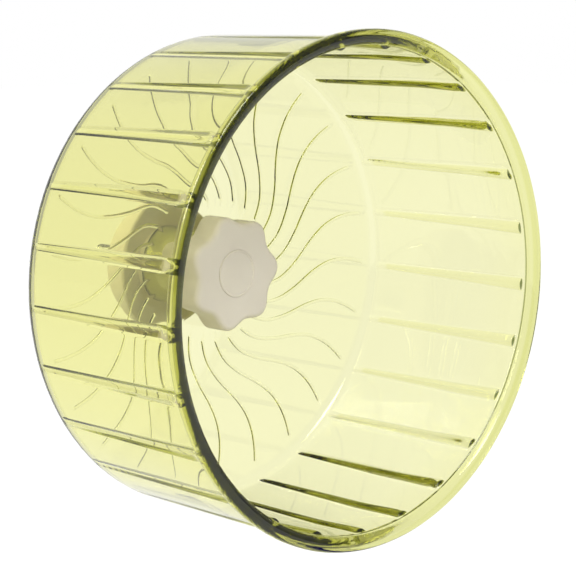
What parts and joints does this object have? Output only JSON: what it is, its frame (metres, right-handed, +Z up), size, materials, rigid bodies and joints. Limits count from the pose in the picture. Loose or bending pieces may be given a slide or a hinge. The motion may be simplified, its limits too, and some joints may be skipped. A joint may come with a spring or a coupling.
{
  "type": "hamster wheel",
  "caption": "Clear plastic running drum with an open mouth, turning on a lobed-knob axle bolt that clamps through a cage wall between a round base and a backing plate.",
  "frame": {"origin": "on the axle's line in the plane of the mount base's back face, where it lies against the cage wall", "axes": "+Y along the axle into the cage wall, so the drum's mouth faces -Y; +Z is up; a positive angle about +Y is clockwise for someone who looks into the mouth"},
  "size_m": [0.14, 0.115, 0.14],
  "materials": {
    "clear_green_plastic": "clear, polished",
    "cream_plastic": "satin",
    "natural_nylon": "satin",
    "plated_steel": "satin"
  },
  "bodies": {
    "mount": {"mount_base": "cream_plastic", "axle_sleeve": "natural_nylon", "front_washer": "natural_nylon", "rear_washer": "natural_nylon"},
    "wheel": {"wheel_drum": "clear_green_plastic", "hub_bush": "natural_nylon"},
    "knob": {"knob_body": "cream_plastic", "knob_cap": "cream_plastic", "axle_bolt": "plated_steel"},
    "clamp": {"backing_plate": "cream_plastic", "lock_nut": "plated_steel"}
  },
  "joints": [
    {"name": "wheel_spin", "type": "hinge", "parent": "mount", "child": "wheel", "pos_m": [0, -0.02, 0], "axis": [0, 1, 0], "continuous": true},
    {"name": "knob_turn", "type": "hinge", "parent": "mount", "child": "knob", "pos_m": [0, -0.033, 0], "axis": [0, 1, 0], "range_deg": [-4680, 1620]},
    {"name": "clamp_slide", "type": "slide", "parent": "mount", "child": "clamp", "axis": [0, -1, 0], "range_m": [-0.0131, 0.0046]}
  ],
  "couplings": [
    {"joint": "clamp_slide", "follows": "knob_turn", "m_per_rad": 0.00015915}
  ]
}
